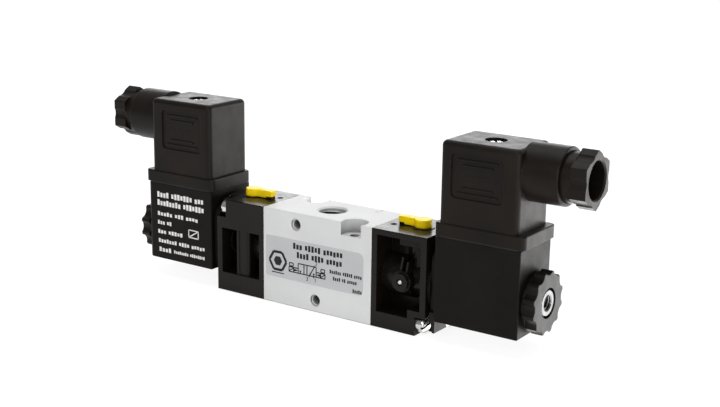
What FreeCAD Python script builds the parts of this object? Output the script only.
import FreeCAD, Part
import math
import os

# Double-solenoid pneumatic directional valve: a spool valve body with G1/8 ports and,
# on each end, a servo-piston cap, a solenoid pilot and a plug-in cable connector.
# Units are millimetres. +X runs along the spool to the right-hand coil, -Y is the front
# face with the name plate and +Z is up. The origin is the centre of the body's underside.
# The two ends are the same assembly, turned half a turn about the Z axis.

# --- Driving dimensions ---------------------------------------------------------------
body_length = 45.6
section_width = 22.0
section_height = 34.1
axis_height = 17.05
cap_length = 21.3
pilot_gap = 3.0
coil_length = 30.6
coil_bottom = 6.5
coil_top = 35.3
housing_length = 28.1
housing_width = 21.1
housing_top = 66.8
cable_axis_height = 58.6
running_gap = 0.05

half_length = body_length / 2
half_width = section_width / 2
cap_end = half_length + cap_length
coil_start = cap_end + pilot_gap
coil_end = coil_start + coil_length

# --- Valve body and its inner parts ---------------------------------------------------
bore_radius = 6.0
port_thread_radius = 4.864
port_thread_depth = 7.5
port_mouth_radius = 5.45
port_drill_radius = 3.2
top_port_x = -1.0
bottom_port_x = (-12.0, 10.0)
side_thread_radius = 2.0
side_thread_depth = 7.0
side_mouth_radius = 2.35
side_holes = ((-8.9, 29.8), (-0.5, 4.1))
plate_thickness = 0.15
mount_hole_x = 14.35
mount_hole_y = 8.6
mount_hole_radius = 1.65
counterbore_radius = 4.7
counterbore_floor = 29.5
seal_positions = (-18.0, -6.5, 4.5, 16.0)
seal_width = 2.0
cage_inner_radius = 4.8
fit_gap = 0.02
snap_ring_x = 21.4
snap_ring_width = 0.8
snap_ring_radius = 6.6

# --- Spool: full-diameter lands with two waists, and a piston on each end --------------
spool_radius = 4.0
waist_radius = 2.6
spool_travel = 4.0
spool_waists = ((-12.5, -8.0), (2.0, 8.0))
piston_radius = 6.25
piston_thickness = 4.6
piston_stop = 32.2
chamber_radius = 6.3
cap_seal_outer = 8.1
cap_seal_inner = 6.9
cap_seal_depth = 0.8
chamber_end = 32.4
spigot_radius = 2.5
spigot_length = 2.6

# --- End caps ---------------------------------------------------------------------------
cap_wall = 2.1
pocket_start = half_length + cap_wall
pocket_end = cap_end - cap_wall
web_half_thickness = 1.5
barrel_radius = 7.4
cap_screw_y = 7.6
cap_screw_z = 3.6
cap_screw_seat = cap_end - 4.0
screw_radius = 1.45
screw_clearance_radius = 1.7
screw_head_radius = 2.9
screw_head_height = 3.1
screw_tip = 17.6
ball_x = 33.5
ball_radius = 1.1
nozzle_radius = 0.6
boss_disc_radius = 10.0
boss_disc_end = cap_end + 0.9
tube_seat = cap_end - 2.1

# --- Manual override --------------------------------------------------------------------
override_x = 36.0
stem_radius = 1.95
stem_hole_radius = 2.0
stem_tip = 15.2
stem_groove = (29.4, 30.4)
stem_head_radius = 1.6
stem_head_top = 36.0
bezel_radius = 3.3
bezel_depth = 1.6
bezel_rim_radius = 3.9
bezel_rim_height = 0.25
lever_bottom = 34.4
lever_top = 37.0
lobe_radius = 2.9
tail_half_width = 1.45
tail_end = 26.9
tail_step_x = 29.4
tail_step_bottom = 34.95
detent_start = 27.2
detent_end = 29.0
detent_half_width = 1.3
detent_height = 0.75
rail_end = 32.0
rail_height = 0.25

# --- Pilot solenoid ---------------------------------------------------------------------
tube_radius = 4.5
tube_inner_radius = 4.0
tube_flange_radius = 6.2
pilot_seal_thickness = 0.8
tube_length_end = 66.0
core_start = 60.0
core_end = 82.4
plunger_start = 45.6
plunger_end = 59.0
plunger_radius = tube_inner_radius - running_gap
plunger_seal_start = 44.65
spring_pocket_radius = 2.5
spring_pocket_start = 51.0
spring_wire_radius = 0.3
spring_radius = 1.9
spring_turns = 6
flange_start = cap_end + 0.9
flange_end = coil_start
flange_half_width = 9.0
flange_bottom = 5.5
flange_top = 30.5
flange_corner = 5.0
flange_lug_half_width = 4.5
flange_lug_bottom = 2.1
flange_lug_top = 32.3
flange_foot_y = -9.9
pilot_screw_z = (4.3, 29.8)
pilot_screw_tip = 39.6
pilot_shank_radius = 1.2
pilot_head_height = 1.2
yoke_thickness = 2.0
bobbin_ends = (51.5, 73.2)
bobbin_cheek = 0.8
bobbin_core_radius = 5.3
bobbin_cheek_radius = 8.6
coil_round_corner = 1.8
coil_crisp_corner = 0.5
coil_ring_seat = 6.2
coil_insert_radius = 2.6
coil_insert_bottom = 28.5
exhaust_thread_radius = 2.5
exhaust_thread_depth = 6.5
nut_start = coil_end + 0.05
nut_end = 82.6
nut_tip_radius = 10.4
nut_scallops = 12
nut_scallop_radius = 2.9
nut_scallop_center = 12.15
nut_rim = 0.9
nut_mouth_radius = 5.0

# --- Connector --------------------------------------------------------------------------
gasket_top = coil_top + 0.5
collar_top = 40.1
collar_start = 46.4
collar_end = 78.8
collar_floor = 37.0
housing_start = 47.8
housing_end = housing_start + housing_length
housing_center = housing_start + housing_length / 2
housing_wall = 1.8
neck_radius = 9.4
neck_end = 88.0
neck_thread_radius = 7.0
gland_collar_end = 91.3
gland_end = 96.7
gland_collar_radius = 8.0
gland_bore_radius = 6.1
gland_corner_radius = 9.5
gland_groove_radius = 4.0
gland_groove_depth = 0.45
grommet_bore_radius = 3.5
grommet_length = 4.1
screw_well_radius = 3.6
connector_screw_seat = 63.9


def vec(x, y, z):
    """A vector, in millimetres."""
    return FreeCAD.Vector(x, y, z)


def box(x_range, y_range, z_range):
    """A block between the given limits."""
    (x0, x1), (y0, y1), (z0, z1) = x_range, y_range, z_range
    return Part.makeBox(x1 - x0, y1 - y0, z1 - z0, vec(x0, y0, z0))


def rod_x(radius, x0, x1, y=0.0, z=axis_height):
    """A cylinder along X, on the spool axis unless told otherwise."""
    return Part.makeCylinder(radius, x1 - x0, vec(x0, y, z), vec(1, 0, 0))


def rod_y(radius, y0, y1, x, z):
    """A cylinder along Y."""
    return Part.makeCylinder(radius, y1 - y0, vec(x, y0, z), vec(0, 1, 0))


def rod_z(radius, z0, z1, x, y):
    """A cylinder along Z."""
    return Part.makeCylinder(radius, z1 - z0, vec(x, y, z0), vec(0, 0, 1))


def tube_x(outer, inner, x0, x1, y=0.0, z=axis_height):
    """A straight tube along X."""
    return rod_x(outer, x0, x1, y, z).cut(rod_x(inner, x0 - 1, x1 + 1, y, z))


def fused(shapes):
    """One solid from several that touch or overlap."""
    return shapes[0].multiFuse(shapes[1:]).removeSplitter()


def without(shape, cutters):
    """The shape with every cutter taken away."""
    for cutter in cutters:
        shape = shape.cut(cutter)
    return shape


def edges_along(shape, direction, accept=None):
    """The straight edges that run along a direction and, if asked, pass a test."""
    chosen = []
    for edge in shape.Edges:
        if not isinstance(edge.Curve, Part.Line):
            continue
        run = edge.Vertexes[-1].Point - edge.Vertexes[0].Point
        if run.Length < 1e-6 or abs(abs(run.normalize().dot(direction)) - 1) > 1e-6:
            continue
        if accept is None or accept(edge.CenterOfMass):
            chosen.append(edge)
    return chosen


def edges_around(shape, accept):
    """Every edge whose centre passes a test."""
    return [edge for edge in shape.Edges if accept(edge.CenterOfMass)]


def rounded_block(x_range, y_range, z_range, corner):
    """A block with its four vertical edges rounded."""
    block = box(x_range, y_range, z_range)
    return block.makeFillet(corner, edges_along(block, vec(0, 0, 1)))


def tapped_hole(radius, mouth_radius, depth, mouth, inward):
    """The space of a threaded hole: its wall and the chamfer at its mouth."""
    hole = Part.makeCylinder(radius, depth, mouth, inward)
    chamfer = Part.makeCone(mouth_radius, radius, mouth_radius - radius, mouth, inward)
    return hole.fuse(chamfer)


def ring(major, minor, center, direction):
    """An O-ring."""
    return Part.makeTorus(major, minor, center, direction)


def turned(shape):
    """The same shape on the other end: half a turn about the Z axis."""
    copy = shape.copy()
    copy.rotate(vec(0, 0, 0), vec(0, 0, 1), 180)
    return copy


def save(name, *solids):
    """Writes one node. Several solids are kept apart in one group."""
    shape = solids[0] if len(solids) == 1 else Part.makeCompound(list(solids))
    shape.exportStep(f"parts/{name}.step")


# --- Valve body -------------------------------------------------------------------------
def valve_body():
    """Extruded aluminium block with the spool bore, ports and fixing holes."""
    half = (-half_length, half_length)
    body = box(half, (-half_width, half_width), (0, section_height))
    body = body.makeFillet(0.35, edges_along(body, vec(1, 0, 0)))
    holes = [rod_x(bore_radius, -half_length, half_length)]
    for x in (-snap_ring_x - snap_ring_width, snap_ring_x):
        holes.append(rod_x(snap_ring_radius, x, x + snap_ring_width))
    top = vec(top_port_x, 0, section_height)
    holes.append(tapped_hole(port_thread_radius, port_mouth_radius, port_thread_depth, top, vec(0, 0, -1)))
    holes.append(rod_z(port_drill_radius, axis_height + 3, section_height, top_port_x, 0))
    for x in bottom_port_x:
        mouth = vec(x, 0, 0)
        sizes = (port_thread_radius, port_mouth_radius, port_thread_depth)
        holes.append(tapped_hole(*sizes, mouth, vec(0, 0, 1)))
        holes.append(rod_z(port_drill_radius, 0, axis_height - 3, x, 0))
    for x, z in side_holes:
        mouth = vec(x, -half_width, z)
        sizes = (side_thread_radius, side_mouth_radius, side_thread_depth)
        holes.append(tapped_hole(*sizes, mouth, vec(0, 1, 0)))
    for side in (1, -1):
        x, y = side * mount_hole_x, -side * mount_hole_y
        holes.append(rod_z(mount_hole_radius, 0, section_height, x, y))
        holes.append(rod_z(counterbore_radius, counterbore_floor, section_height, x, y))
    for screw in cap_screw_places():
        holes.append(screw(screw_radius + running_gap, screw_tip - 0.3, half_length))
    holes.append(name_plate())
    return without(body, holes)


def cap_screw_places():
    """Makers of a cylinder along each of the four cap screws, given its X limits."""
    upper = section_height - cap_screw_z
    places = ((1, -cap_screw_y, cap_screw_z), (1, cap_screw_y, upper))
    places += ((-1, cap_screw_y, cap_screw_z), (-1, -cap_screw_y, upper))

    def maker(side, y, z):
        def make(radius, near, far):
            limits = sorted((side * near, side * far))
            return rod_x(radius, limits[0], limits[1], y, z)
        return make

    return [maker(*place) for place in places]


def name_plate():
    """Thin foil plate let into the front face, with rounder corners at its right end."""
    plate = box((-21.9, 19.7), (-half_width, -half_width + plate_thickness), (9.6, 24.5))
    across = vec(0, 1, 0)
    plate = plate.makeFillet(2.3, edges_along(plate, across, lambda c: c.x > 0))
    return plate.makeFillet(1.0, edges_along(plate, across, lambda c: c.x < -21))


def spool_seals():
    """Ring seals that stand in the bore and touch the spool's lands."""
    outer = bore_radius - fit_gap
    inner = spool_radius + running_gap
    half = seal_width / 2
    seals = [tube_x(outer, inner, x - half, x + half) for x in seal_positions]
    return [seal.makeFillet(0.35, seal.Edges) for seal in seals]


def seal_spacers():
    """Cages between the seals. Each has four windows where a port meets the bore."""
    outer = bore_radius - fit_gap
    ends = [-snap_ring_x] + [x + side * seal_width / 2 for x in seal_positions for side in (-1, 1)]
    ends.append(snap_ring_x)
    spacers = []
    for start, end in zip(ends[0::2], ends[1::2]):
        cage = tube_x(outer, cage_inner_radius, start, end)
        port = [x for x in (*bottom_port_x, top_port_x) if start < x < end]
        for x in port:
            cage = cage.cut(rod_z(2.6, axis_height - 8, axis_height + 8, x, 0))
            cage = cage.cut(rod_y(2.6, -8, 8, x, axis_height))
        spacers.append(cage)
    return spacers


def snap_rings():
    """Spring-steel rings that hold the seals and cages in the bore."""
    rings = []
    for side in (1, -1):
        x0, x1 = sorted((side * snap_ring_x, side * (snap_ring_x + snap_ring_width)))
        body = tube_x(snap_ring_radius - fit_gap, cage_inner_radius, x0, x1)
        gap = box((x0, x1), (-0.9, 0.9), (axis_height, axis_height + 8))
        rings.append(body.cut(gap))
    return rings


# --- Spool and pistons ------------------------------------------------------------------
def spool():
    """The spool at its left-hand stop, with a spigot for a piston on each end."""
    left = -piston_stop + piston_thickness
    right = piston_stop - piston_thickness - spool_travel
    body = rod_x(spool_radius, left, right)
    for start, end in spool_waists:
        body = body.cut(tube_x(spool_radius + 1, waist_radius, start, end))
    ends = [rod_x(spigot_radius, left - spigot_length, left)]
    ends.append(rod_x(spigot_radius, right, right + spigot_length))
    body = fused([body] + ends)
    return body.makeChamfer(0.4, edges_around(body, lambda c: c.x < left - 2.5 or c.x > right + 2.5))


def piston(inner_face, outward):
    """A servo piston whose blind hole takes the spool's spigot."""
    limits = sorted((inner_face, inner_face + outward * piston_thickness))
    groove_center = inner_face + outward * piston_thickness / 2
    disc = rod_x(piston_radius, *limits)
    disc = disc.makeChamfer(0.3, [edge for edge in disc.Edges if isinstance(edge.Curve, Part.Circle)])
    groove = tube_x(piston_radius + 1, piston_radius - 1.3, groove_center - 0.8, groove_center + 0.8)
    spigot = sorted((inner_face, inner_face + outward * spigot_length))
    return without(disc, [groove, rod_x(spigot_radius, *spigot)])


def piston_seal(inner_face, outward):
    """The ring in a piston's groove."""
    center = inner_face + outward * piston_thickness / 2
    seal = tube_x(chamber_radius - 0.02, piston_radius - 1.28, center - 0.75, center + 0.75)
    return seal.makeFillet(0.3, [edge for edge in seal.Edges if isinstance(edge.Curve, Part.Circle)])


# --- End caps ---------------------------------------------------------------------------
def screw_notch():
    """The corner taken out of the cap for a screw head, in the front-bottom corner."""
    x = (cap_screw_seat, cap_end + 1)
    return fused([
        rod_x(3.6, x[0], x[1], -cap_screw_y, cap_screw_z),
        box(x, (-half_width - 1, -cap_screw_y), (-1, 6.6)),
        box(x, (-half_width - 1, -4.0), (-1, cap_screw_z)),
    ])


def turned_about_axis(shape):
    """Half a turn about the spool axis: front-bottom goes to back-top."""
    copy = shape.copy()
    copy.rotate(vec(0, 0, axis_height), vec(1, 0, 0), 180)
    return copy


def cap_window_ribs():
    """What stands in the cap's front and back windows: barrel, bosses, ribs and pillar."""
    barrel_end = 35.6
    hub_radius = 6.4
    hub_round_x = 36.5
    boss_radius = 4.7
    ball_boss_radii = ((3.0, -10.3), (3.6, -9.2))
    shelf = ((31.0, pocket_end), (-6.5, 0), (28.7, section_height))
    foot = ((37.3, pocket_end), (-half_width, 0), (5, 8.6))
    pillar_z = (5, 25)
    pillar_front = 10.3
    edge_front = 10.55
    slanted_ribs = ((31.9, 25.6), (34.1, 24.2))
    rib_thickness = 0.7
    rib_slant = 10
    front_half = box((0, cap_end), (-half_width, 0), (0, section_height))
    back_half = box((0, cap_end), (0, half_width), (0, section_height))
    hub = rod_x(hub_radius, barrel_end, pocket_end)
    round_hub = Part.makeSphere(hub_radius, vec(hub_round_x, 0, axis_height))
    kept = [
        rod_x(barrel_radius, half_length, barrel_end),
        hub.common(front_half),
        round_hub.common(back_half),
        rod_z(boss_radius, axis_height, section_height, override_x, 0),
        box(*shelf),
        box(*foot),
    ]
    kept += [rod_y(radius, front, 0, ball_x, axis_height) for radius, front in ball_boss_radii]
    for x, top in slanted_ribs:
        rib = box((x, x + rib_thickness), (-8.6, 0), (axis_height, top))
        rib.rotate(vec(x, 0, axis_height), vec(0, 1, 0), rib_slant)
        kept.append(rib)
    pillar = box((30.2, 34.4), (0, pillar_front), pillar_z)
    pillar = pillar.makeFillet(1.4, edges_along(pillar, vec(0, 0, 1), lambda c: c.x < 31 and c.y > 9))
    kept += [pillar, box((34.4, 35.5), (0, edge_front), pillar_z)]
    return fused(kept)


def right_end_cap():
    """Moulded cap: a walled frame round the piston barrel, open to front and back."""
    front_window_z = (5.65, 32.2)
    back_window_z = (6.9, 23.5)
    bevel = 0.3
    pilot_hole_radius = 1.25
    cap = box((half_length, cap_end), (-half_width, half_width), (0, section_height))
    cap = cap.makeFillet(bevel, edges_along(cap, vec(1, 0, 0)))
    pocket_x = (pocket_start, pocket_end)
    front = box(pocket_x, (-half_width - 1, -web_half_thickness), front_window_z)
    back = box(pocket_x, (web_half_thickness, half_width + 1), back_window_z)
    solid = cap_window_ribs()
    cap = without(cap, [front.cut(solid), back.cut(solid)])
    disc = rod_x(boss_disc_radius, cap_end, boss_disc_end)
    detent_z = (section_height - 0.2, section_height + detent_height)
    detent = box((detent_start, detent_end), (-detent_half_width, detent_half_width), detent_z)
    detent = detent.makeFillet(bevel, edges_along(detent, vec(0, 0, 1)))
    rail_z = (section_height - 0.2, section_height + rail_height)
    rail = box((detent_end - 0.5, rail_end), (-detent_half_width, detent_half_width), rail_z)
    cap = fused([cap, disc, detent, rail])
    nose_radius = 1.5
    seat_nose = tube_x(nose_radius, nozzle_radius, tube_seat - 1, plunger_seal_start - 0.02)
    recess = rod_x(tube_flange_radius + 0.1, tube_seat, boss_disc_end + 1)
    cuts = [
        rod_x(chamber_radius, half_length - 1, chamber_end),
        rod_x(nozzle_radius, chamber_end - 1, cap_end),
        recess,
        tube_x(cap_seal_outer, cap_seal_inner, half_length - 1, half_length + cap_seal_depth),
        rod_z(stem_hole_radius, stem_tip - 0.2, section_height + 2, override_x, 0),
        rod_z(bezel_radius, section_height - bezel_depth, section_height + 2, override_x, 0),
        rod_y(ball_radius, -half_width, -8.0, ball_x, axis_height),
        rod_y(nozzle_radius, -8.5, 0, ball_x, axis_height),
        screw_notch(),
        turned_about_axis(screw_notch()),
    ]
    for y, z in ((-cap_screw_y, cap_screw_z), (cap_screw_y, section_height - cap_screw_z)):
        cuts.append(rod_x(screw_clearance_radius, half_length - 1, cap_end, y, z))
    for z in pilot_screw_z:
        cuts.append(rod_x(pilot_hole_radius, pilot_screw_tip - 0.2, cap_end + 2, 0, z))
    return fused([without(cap, cuts), seat_nose])


def cap_seal():
    """O-ring of square section between the cap and the body's end."""
    x = (half_length + fit_gap, half_length + cap_seal_depth - fit_gap)
    return tube_x(cap_seal_outer - fit_gap, cap_seal_inner + fit_gap, *x)


def cap_screws():
    """Long slotted pan-head screws that hold each cap on the body."""
    screws = []
    for make in cap_screw_places():
        head = make(screw_head_radius, cap_screw_seat, cap_screw_seat + screw_head_height)
        center = head.CenterOfMass
        face = math.copysign(cap_screw_seat + screw_head_height, center.x)
        crown = [edge for edge in head.Edges if abs(edge.CenterOfMass.x - face) < 0.01]
        head = head.makeFillet(0.9, crown)
        shank = make(screw_radius, screw_tip, cap_screw_seat)
        slot = box((-1.0, 1.0), (-4, 4), (-0.4, 0.4))
        slot.rotate(vec(0, 0, 0), vec(1, 0, 0), 12)
        slot.translate(vec(face, center.y, center.z))
        screws.append(fused([head, shank]).cut(slot))
    return screws


def passage_ball():
    """Steel ball pressed into the drilled passage of the cap's front boss."""
    return Part.makeSphere(ball_radius, vec(ball_x, -9.3, axis_height))


# --- Manual override --------------------------------------------------------------------
def override_bezel():
    """Bush that guides the override stem in the cap's top, with a flat rim."""
    bush = rod_z(bezel_radius, section_height - bezel_depth, section_height, override_x, 0)
    rim_top = section_height + bezel_rim_height
    rim = rod_z(bezel_rim_radius, section_height, rim_top, override_x, 0)
    bush = fused([bush, rim]).cut(rod_z(stem_hole_radius, 30, 36, override_x, 0))
    outer_edge = edges_around(bush, lambda c: c.z > rim_top - 0.01)
    outer_edge = [edge for edge in outer_edge if edge.Length > 2 * math.pi * bezel_radius]
    return bush.makeFillet(0.12, outer_edge)


def stem_flat(low, high):
    """The space beside the flat of the stem's head, between two heights."""
    return box((override_x + 1.1, override_x + 3), (-3, 3), (low, high))


def override_stem():
    """Turning stem with a waist across the pilot passage and a groove for its seal."""
    stem = rod_z(stem_radius, stem_tip, lever_bottom, override_x, 0)
    waist_half_height = 0.9
    waist = rod_z(3, axis_height - waist_half_height, axis_height + waist_half_height, override_x, 0)
    waist = waist.cut(rod_z(1.1, 0, 40, override_x, 0))
    groove = rod_z(3, *stem_groove, override_x, 0)
    groove = groove.cut(rod_z(1.35, 0, 40, override_x, 0))
    head = rod_z(stem_head_radius, lever_bottom, stem_head_top, override_x, 0)
    return fused([without(stem, [waist, groove]), head.cut(stem_flat(lever_bottom, 40))])


def override_seal():
    """O-ring on the stem."""
    return ring(1.66, 0.3, vec(override_x, 0, sum(stem_groove) / 2), vec(0, 0, 1))


def override_lever():
    """Yellow keyhole-shaped lever: a round lobe over the stem and a stepped tail."""
    lobe = rod_z(lobe_radius, lever_bottom, lever_top, override_x, 0)
    tail = box((tail_end, override_x), (-tail_half_width, tail_half_width), (lever_bottom, lever_top))
    tail = tail.makeFillet(0.5, edges_along(tail, vec(0, 0, 1), lambda c: c.x < tail_end + 1))
    tail = tail.cut(box((tail_end - 1, tail_step_x), (-3, 3), (lever_bottom - 1, tail_step_bottom)))
    lever = fused([lobe, tail])
    neck = edges_along(lever, vec(0, 0, 1), lambda c: tail_step_x + 1 < c.x < override_x - 1)
    lever = lever.makeFillet(0.8, neck)
    lever = lever.makeFillet(0.3, edges_around(lever, lambda c: c.z > lever_top - 0.01))
    socket = rod_z(stem_head_radius, lever_bottom, stem_head_top, override_x, 0)
    return lever.cut(socket.cut(stem_flat(30, 40)))


# --- Pilot solenoid ---------------------------------------------------------------------
def pilot_flange():
    """Plate that clamps the armature tube to the cap, with two lugs and a front foot."""
    x = (flange_start, flange_end)
    plate = box(x, (-flange_half_width, flange_half_width), (flange_bottom, flange_top))
    plate = plate.makeFillet(flange_corner, edges_along(plate, vec(1, 0, 0)))
    lug = box(x, (-flange_lug_half_width, flange_lug_half_width), (flange_lug_bottom, flange_lug_top))
    lug = lug.makeFillet(1.0, edges_along(lug, vec(1, 0, 0)))
    foot = box(x, (flange_foot_y, 0), (flange_lug_bottom, 9.0))
    plate = fused([plate, lug, foot])
    cuts = [rod_x(tube_radius + running_gap, flange_start - 1, flange_end + 1)]
    relief = (screw_head_radius + 0.15, flange_start - 1, flange_start + 1.2)
    cuts.append(rod_x(*relief, -cap_screw_y, cap_screw_z))
    for z in pilot_screw_z:
        hole = pilot_shank_radius + 0.35
        cuts.append(rod_x(hole, flange_start - 1, flange_end + 1, 0, z))
        mouth = vec(flange_end - pilot_head_height, 0, z)
        cuts.append(Part.makeCone(hole, hole + pilot_head_height, pilot_head_height, mouth, vec(1, 0, 0)))
    return without(plate, cuts)


def pilot_screw(height):
    """Countersunk cross-head screw, flush with the pilot flange."""
    head_start = flange_end - pilot_head_height
    cone = (pilot_shank_radius + 0.3, pilot_shank_radius + 1.5)
    head = Part.makeCone(*cone, pilot_head_height, vec(head_start, 0, height), vec(1, 0, 0))
    shank = rod_x(pilot_shank_radius, pilot_screw_tip, head_start, 0, height)
    slot_x = (flange_end - 0.6, flange_end + 1)
    across = box(slot_x, (-0.35, 0.35), (height - 1.6, height + 1.6))
    upright = box(slot_x, (-1.6, 1.6), (height - 0.35, height + 0.35))
    return without(head.fuse(shank), [across, upright])


def pilot_seal():
    """Ring between the armature tube's flange and the cap."""
    return tube_x(tube_flange_radius - 0.3, tube_radius + 0.4, tube_seat, tube_seat + pilot_seal_thickness)


def armature_tube():
    """Thin tube with a clamped flange. The plunger slides inside it."""
    start = tube_seat + pilot_seal_thickness
    flange = rod_x(tube_flange_radius, start, flange_start)
    tube = fused([rod_x(tube_radius, start, tube_length_end), flange])
    return tube.cut(rod_x(tube_inner_radius, start - 1, tube_length_end + 1))


def fixed_core():
    """Fixed iron core. Its outer end carries the nut thread and an M5 exhaust hole."""
    vent_radius = 0.8
    mouth_radius = 2.85
    core = fused([
        rod_x(tube_inner_radius, core_start, tube_length_end),
        rod_x(tube_radius, tube_length_end, core_end),
    ])
    rim = edges_around(core, lambda c: c.x > core_end - 0.01)
    core = core.makeChamfer(0.45, rim)
    mouth = vec(core_end, 0, axis_height)
    thread = tapped_hole(exhaust_thread_radius, mouth_radius, exhaust_thread_depth, mouth, vec(-1, 0, 0))
    return core.cut(thread).cut(rod_x(vent_radius, core_start - 1, core_end))


def plunger():
    """Sliding iron plunger with a rubber seat in its nose and a spring pocket behind."""
    body = rod_x(plunger_radius, plunger_start, plunger_end)
    cuts = [
        rod_x(2.0, plunger_start, plunger_start + 1.4),
        rod_x(spring_pocket_radius, spring_pocket_start, plunger_end),
    ]
    for side in (1, -1):
        y = sorted((side * 3.4, side * 5))
        cuts.append(box((plunger_start, plunger_end), y, (axis_height - 0.6, axis_height + 0.6)))
    return without(body, cuts)


def plunger_seal():
    """Rubber disc that closes the nozzle."""
    seal = rod_x(2.0, plunger_seal_start, plunger_start + 1.4)
    return seal.makeFillet(0.3, edges_around(seal, lambda c: c.x < plunger_seal_start + 0.01))


def plunger_spring():
    """Return spring between the plunger's pocket and the fixed core."""
    start = spring_pocket_start + spring_wire_radius
    end = core_start - spring_wire_radius
    helix = Part.makeHelix((end - start) / spring_turns, end - start, spring_radius)
    helix.rotate(vec(0, 0, 0), vec(0, 1, 0), 90)
    helix.translate(vec(start, 0, axis_height))
    first = helix.Edges[0]
    point = first.valueAt(first.FirstParameter)
    tangent = first.tangentAt(first.FirstParameter)
    section = Part.Wire(Part.makeCircle(spring_wire_radius, point, tangent))
    return Part.Wire(helix.Edges).makePipeShell([section], True, True)


def coil_yoke():
    """Soft-iron frame: two end plates joined by a strip under the winding."""
    half = 8.6
    bottom, top = 7.4, 26.6
    left, right = 49.5, 75.2
    parts = [box((left, left + yoke_thickness), (-half, half), (bottom, top))]
    parts.append(box((right - yoke_thickness, right), (-half, half), (bottom, top)))
    parts.append(box((left, right), (-half, half), (bottom, bottom + 1)))
    return fused(parts).cut(rod_x(tube_radius + 0.1, 45, 80))


def coil_bobbin():
    """Spool-shaped former that the wire is wound on."""
    start, end = bobbin_ends
    parts = [rod_x(bobbin_core_radius, start, end)]
    parts.append(rod_x(bobbin_cheek_radius, start, start + bobbin_cheek))
    parts.append(rod_x(bobbin_cheek_radius, end - bobbin_cheek, end))
    return fused(parts).cut(rod_x(tube_radius + 0.1, 45, 80))


def coil_winding():
    """The copper winding, as one solid ring."""
    start, end = bobbin_ends
    return tube_x(bobbin_cheek_radius - 0.2, bobbin_core_radius, start + bobbin_cheek, end - bobbin_cheek)


def terminal_blades():
    """Two flat contacts and the earth contact that stand out of the coil."""
    blades = []
    for x, y, size in ((housing_center, -5.0, (6.3, 0.8)), (housing_center, 5.0, (6.3, 0.8)),
                       (housing_center + 7.0, 0.0, (0.8, 6.3))):
        half_x, half_y = size[0] / 2, size[1] / 2
        blades.append(box((x - half_x, x + half_x), (y - half_y, y + half_y), (27.5, 46.0)))
    return blades


def coil_insert():
    """Brass bush that takes the connector's screw."""
    bush = rod_z(coil_insert_radius, coil_insert_bottom, coil_top, housing_center, 0)
    bore = (screw_radius + running_gap, coil_insert_bottom - 1, coil_top + 1)
    return bush.cut(rod_z(*bore, housing_center, 0))


def coil():
    """Moulded coil body that encloses the yoke, the winding and the contacts."""
    block = box((coil_start, coil_end), (-half_width, half_width), (coil_bottom, coil_top))
    upright = vec(0, 0, 1)
    rounded = edges_along(block, upright, lambda c: c.x > coil_start + 1 and c.y > 0)
    block = block.makeFillet(coil_round_corner, rounded)
    crisp = edges_along(block, upright, lambda c: c.x < coil_start + 1 or c.y < 0)
    block = block.makeFillet(coil_crisp_corner, crisp)
    foot = edges_around(block, lambda c: c.z < coil_bottom + 0.01)
    block = block.makeFillet(0.4, foot)
    recess_depth = 1.0
    cuts = [rod_x(tube_radius + 0.1, 45, 80), coil_yoke(), coil_bobbin(), coil_winding()]
    cuts.append(rod_x(coil_ring_seat, coil_end - recess_depth, coil_end + 1))
    cuts.append(rod_x(coil_ring_seat, coil_start - 1, coil_start + recess_depth))
    cuts += terminal_blades()
    cuts.append(rod_z(coil_insert_radius, coil_insert_bottom, coil_top + 1, housing_center, 0))
    return without(block, cuts)


def coil_rings():
    """O-rings round the tube at both faces of the coil."""
    start = tube_x(6.0, tube_radius + 0.02, coil_start + 0.1, coil_start + 1.0)
    end = tube_x(6.0, tube_radius + 0.02, coil_end - 1.0, coil_end - 0.05)
    return [start, end]


def coil_nut():
    """Hand nut with scalloped lobes that clamps the coil on its tube."""
    blank = rod_x(nut_tip_radius, nut_start + nut_rim, nut_end)
    for index in range(nut_scallops):
        angle = math.radians(360 / nut_scallops * index)
        y = nut_scallop_center * math.sin(angle)
        z = axis_height + nut_scallop_center * math.cos(angle)
        blank = blank.cut(rod_x(nut_scallop_radius, nut_start, nut_end + 1, y, z))
    face = edges_around(blank, lambda c: c.x > nut_end - 0.01)
    blank = blank.makeFillet(0.25, face)
    blank = fused([blank, rod_x(nut_tip_radius - 0.8, nut_start, nut_start + nut_rim)])
    thread = rod_x(tube_radius + running_gap, nut_start - 1, nut_end + 1)
    mouth_depth = 1.7
    mouth = rod_x(nut_mouth_radius, nut_end - mouth_depth, nut_end + 1)
    return without(blank, [thread, mouth])


# --- Connector --------------------------------------------------------------------------
def connector_gasket():
    """Flat gasket between the coil and the connector."""
    sheet = rounded_block((coil_start + 0.1, coil_end - 0.1), (-10.8, 10.8), (coil_top, gasket_top), 1.6)
    openings = [box((x0, x1), (y0, y1), (30, 40)) for (x0, x1), (y0, y1) in contact_openings()]
    return without(sheet, openings + [rod_z(1.7, 30, 40, housing_center, 0)])


def contact_openings():
    """Clearances round the three contacts, as X and Y limits."""
    return (
        ((housing_center - 3.4, housing_center + 3.4), (-5.6, -4.4)),
        ((housing_center - 3.4, housing_center + 3.4), (4.4, 5.6)),
        ((housing_center + 6.4, housing_center + 7.6), (-3.4, 3.4)),
    )


def connector_collar():
    """Frame round the foot of the connector."""
    around = ((collar_start, collar_end), (-half_width, half_width))
    outer = rounded_block(*around, (gasket_top, collar_top), 2.0)
    outer = outer.makeFillet(0.5, edges_around(outer, lambda c: c.z > collar_top - 0.01))
    seat = housing_outline(collar_floor, collar_top + 1, 0.03)
    through = box((housing_start + 3, housing_end - 3), (-8, 8), (30, 45))
    return without(outer, [seat, through])


def housing_outline(z0, z1, grow):
    """Block on the outline of the connector housing, grown by a gap."""
    x = (housing_start - grow, housing_end + grow)
    y = (-housing_width / 2 - grow, housing_width / 2 + grow)
    return rounded_block(x, y, (z0, z1), 2.0 + grow)


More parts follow.
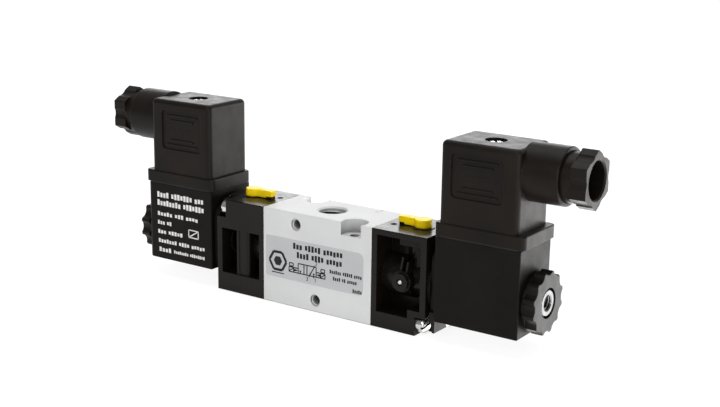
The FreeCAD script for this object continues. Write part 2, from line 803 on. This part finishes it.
def side_panels():
    """Shallow recesses in the front and back faces, with ribs left standing in them."""
    panels = []
    for side in (1, -1):
        face = side * housing_width / 2
        y = sorted((face - side * 0.5, face + side))
        panel = box((51.9, 70.5), y, (48.8, 63.2))
        panel = panel.makeFillet(1.6, edges_along(panel, vec(0, 1, 0)))
        center = housing_center - 0.6
        rib_y = sorted((face - side * 1, face - side * 0.15))
        for z, half_rib in ((61.3, 7.2), (59.5, 5.4), (52.3, 5.4), (50.5, 7.2)):
            rib = box((center - half_rib, center + half_rib), rib_y, (z - 0.3, z + 0.3))
            panel = panel.cut(rib)
        panels.append(panel)
    return panels


def connector_housing():
    """Hollow connector hood with a screw well and a threaded cable neck."""
    block = housing_outline(collar_floor, housing_top, 0)
    top_edges = edges_around(block, lambda c: c.z > housing_top - 0.01)
    block = block.makeFillet(1.7, top_edges)
    neck = rod_x(neck_radius, housing_end - 1.2, neck_end, 0, cable_axis_height)
    rim = edges_around(neck, lambda c: c.x > neck_end - 0.01)
    block = fused([block, neck.makeFillet(0.6, rim)])
    cavity = rounded_block(
        (housing_start + housing_wall, housing_end - housing_wall),
        (-housing_width / 2 + housing_wall, housing_width / 2 - housing_wall),
        (collar_floor - 1, 64.6), 1.0)
    well = rod_z(screw_well_radius + 1.3, 60.6, housing_top, housing_center, 0)
    cuts = [
        cavity.cut(well),
        rod_z(screw_well_radius, connector_screw_seat, housing_top + 1, housing_center, 0),
        rod_z(1.7, 60, housing_top, housing_center, 0),
        rod_x(neck_thread_radius + running_gap, housing_end + 0.6, neck_end + 1, 0, cable_axis_height),
        rod_x(6.1, housing_end - 3, housing_end + 1, 0, cable_axis_height),
        rod_x(8.15, neck_end - 1.4, neck_end + 1, 0, cable_axis_height),
    ]
    return without(block, cuts + side_panels())


def terminal_block():
    """Insulating block that carries the contact clamps inside the hood."""
    around = ((housing_start + 3.1, housing_end - 3.1), (-7.9, 7.9))
    block = rounded_block(*around, (collar_floor - 1.1, 50.0), 1.0)
    cuts = [rod_z(1.7, 30, 60, housing_center, 0)]
    for (x0, x1), (y0, y1) in contact_openings():
        cuts.append(box((x0, x1), (y0, y1), (30, 46.5)))
    for x, y in terminal_screw_places():
        cuts.append(rod_z(1.8, 47.2, 51, x, y))
    return without(block, cuts)


def terminal_screw_places():
    """Places of the three clamp screws, in X and Y."""
    return ((housing_center - 6.5, -5.0), (housing_center - 6.5, 5.0), (housing_center + 6.6, 5.0))


def terminal_screw(x, y):
    """Slotted clamp screw."""
    head = rod_z(1.78, 47.2, 49.2, x, y)
    return head.cut(box((x - 2, x + 2), (y - 0.25, y + 0.25), (48.4, 50)))


def connector_screw():
    """Pan-head screw through the hood into the coil."""
    head = rod_z(2.75, connector_screw_seat, connector_screw_seat + 2.3, housing_center, 0)
    head = head.makeFillet(0.9, edges_around(head, lambda c: c.z > connector_screw_seat + 2.2))
    top = connector_screw_seat + 2.3
    slot = box((-0.4, 0.4), (-4, 4), (-1.1, 1.0))
    slot.rotate(vec(0, 0, 0), vec(0, 0, 1), 35)
    slot.translate(vec(housing_center, 0, top))
    shank = rod_z(1.45, 30.0, connector_screw_seat, housing_center, 0)
    return head.fuse(shank).removeSplitter().cut(slot)


def gland_nut():
    """Cable gland nut: plain shank, round collar and a hexagon with hollowed flats."""
    z = cable_axis_height
    shank = rod_x(neck_thread_radius, 81.0, 87.0, 0, z)
    collar = rod_x(gland_collar_radius, 87.0, gland_collar_end, 0, z)
    corners = []
    for index in range(7):
        angle = math.radians(90 + 60 * index)
        y = gland_corner_radius * math.cos(angle)
        corners.append(vec(gland_collar_end, y, z + gland_corner_radius * math.sin(angle)))
    hexagon = Part.Face(Part.makePolygon(corners)).extrude(vec(gland_end - gland_collar_end, 0, 0))
    hexagon = hexagon.makeFillet(0.5, edges_along(hexagon, vec(1, 0, 0)))
    flat = gland_corner_radius * math.cos(math.radians(30))
    reach = flat - gland_groove_depth + gland_groove_radius
    grooves = []
    for index in range(6):
        angle = math.radians(120 + 60 * index)
        y = reach * math.cos(angle)
        across = z + reach * math.sin(angle)
        grooves.append(rod_x(gland_groove_radius, gland_collar_end, gland_end, y, across))
    hexagon = without(hexagon, grooves)
    nut = fused([shank, collar, hexagon])
    bore = rod_x(gland_bore_radius, 80, gland_end + 1, 0, z)
    lip = 0.5
    lip_start = vec(gland_end - lip, 0, z)
    mouth = Part.makeCone(gland_bore_radius, gland_bore_radius + lip, lip, lip_start, vec(1, 0, 0))
    return without(nut, [bore, mouth])


def gland_grommet():
    """Rubber ring that seals on the cable."""
    start = housing_end + 0.6
    end = start + grommet_length
    return tube_x(neck_thread_radius - 0.1, grommet_bore_radius, start, end, 0, cable_axis_height)


def gland_washer():
    """Slip washer between the grommet and the gland nut."""
    start = housing_end + 0.6 + grommet_length
    return tube_x(neck_thread_radius - 0.2, 4.0, start, 80.98, 0, cable_axis_height)


# --- Nodes ------------------------------------------------------------------------------
def save_both(name, shape):
    """Writes a right-hand piece and its turned copy as two nodes."""
    save(f"right_{name}", shape)
    save(f"left_{name}", turned(shape))


def save_pairs(name, shapes):
    """Writes small pieces of both ends as one node."""
    save(name, *shapes, *[turned(shape) for shape in shapes])


def main():
    os.makedirs("parts", exist_ok=True)
    save("valve_body", valve_body())
    save("name_plate", name_plate())
    save("spool_seals", *spool_seals())
    save("seal_spacers", *seal_spacers())
    save("snap_rings", *snap_rings())
    save("spool", spool())
    left_face = -piston_stop + piston_thickness
    right_face = piston_stop - piston_thickness - spool_travel
    save("left_piston", piston(left_face, -1))
    save("right_piston", piston(right_face, 1))
    save("piston_seals", piston_seal(left_face, -1), piston_seal(right_face, 1))
    save_both("end_cap", right_end_cap())
    save_pairs("cap_seals", [cap_seal()])
    save("cap_screws", *cap_screws())
    save_pairs("passage_balls", [passage_ball()])
    save_pairs("override_bezels", [override_bezel()])
    save_both("override_stem", override_stem())
    save_both("override_seal", override_seal())
    save_both("override_lever", override_lever())
    save_both("pilot_flange", pilot_flange())
    save_pairs("pilot_screws", [pilot_screw(z) for z in pilot_screw_z])
    save_pairs("pilot_seals", [pilot_seal()])
    save_both("armature_tube", armature_tube())
    save_both("fixed_core", fixed_core())
    save_both("plunger", plunger())
    save_both("plunger_seal", plunger_seal())
    save_both("plunger_spring", plunger_spring())
    save_both("coil", coil())
    save_pairs("coil_windings", [coil_winding()])
    save_pairs("coil_bobbins", [coil_bobbin()])
    save_pairs("coil_yokes", [coil_yoke()])
    save_pairs("coil_contacts", terminal_blades())
    save_pairs("coil_inserts", [coil_insert()])
    save_pairs("coil_rings", coil_rings())
    save_both("coil_nut", coil_nut())
    save_both("connector_gasket", connector_gasket())
    save_both("connector_collar", connector_collar())
    save_both("connector_housing", connector_housing())
    save_both("terminal_block", terminal_block())
    save_pairs("terminal_screws", [terminal_screw(x, y) for x, y in terminal_screw_places()])
    save_pairs("connector_screws", [connector_screw()])
    save_both("gland_nut", gland_nut())
    save_pairs("gland_grommets", [gland_grommet()])
    save_pairs("gland_washers", [gland_washer()])


main()
